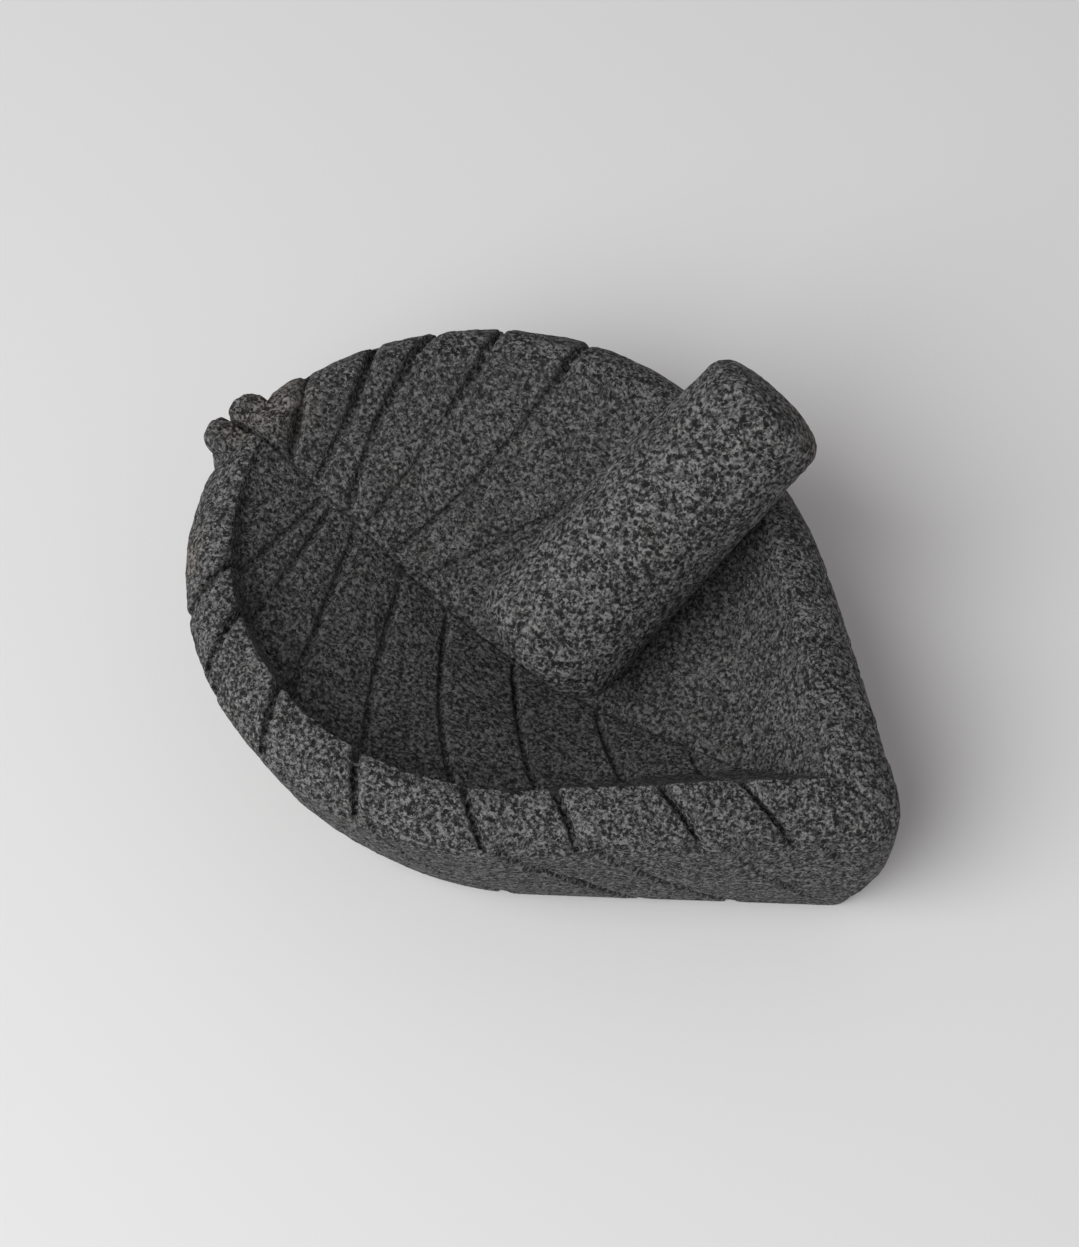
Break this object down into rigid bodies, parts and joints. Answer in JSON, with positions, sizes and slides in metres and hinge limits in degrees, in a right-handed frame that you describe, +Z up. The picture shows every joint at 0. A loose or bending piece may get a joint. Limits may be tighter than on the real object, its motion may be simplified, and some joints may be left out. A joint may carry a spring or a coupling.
{
  "type": "mortar and pestle",
  "caption": "Leaf-shaped stone mortar on a flat base, with carved veins and a stem stub, and a loose tapered cylindrical pestle resting in it.",
  "frame": {"origin": "on the plane of the flat base, halfway along the leaf's length, under the midrib", "axes": "+X along the midrib from stem to tip, +Z up out of the hollow, +Y towards the side whose rim carries the pestle"},
  "size_m": [0.3024, 0.226, 0.1451],
  "materials": {
    "mortar_stone": "rough, full of small pits",
    "pestle_stone": "rough, full of small pits"
  },
  "bodies": {
    "mortar": {"mortar_bowl": "mortar_stone"},
    "pestle": {"pestle": "pestle_stone"}
  },
  "joints": [
    {"name": "pestle_lift", "type": "slide", "parent": "mortar", "child": "pestle", "axis": [0, 0, 1], "range_m": [0, 0.12]}
  ]
}
